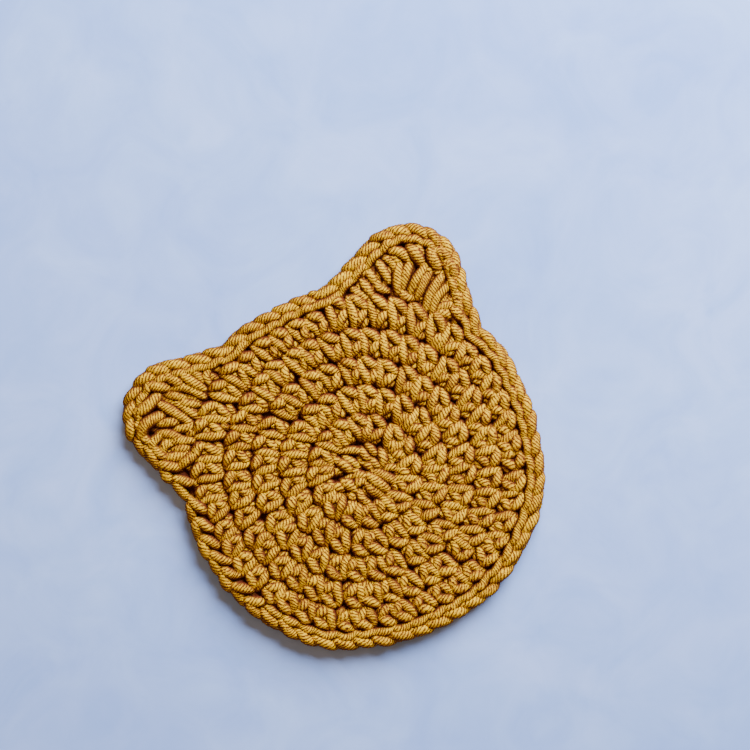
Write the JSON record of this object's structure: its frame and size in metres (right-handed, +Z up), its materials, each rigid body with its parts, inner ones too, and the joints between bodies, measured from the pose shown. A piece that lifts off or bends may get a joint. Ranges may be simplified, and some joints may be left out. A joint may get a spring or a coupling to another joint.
{
  "type": "crochet coaster",
  "caption": "Flat crocheted cotton coaster in the outline of an animal's head: worked round and round from the middle, with round ears and a slip-stitch edging.",
  "frame": {"origin": "middle of the bounding box, on the flat underside", "axes": "+Z up out of the worked face, +Y toward the ears, +X to the right ear as seen from above"},
  "size_m": [0.1058, 0.105, 0.0054],
  "materials": {
    "yarn": "matte cabled cotton yarn, mustard yellow"
  },
  "bodies": {
    "root": {"coaster": "yarn"}
  },
  "joints": []
}
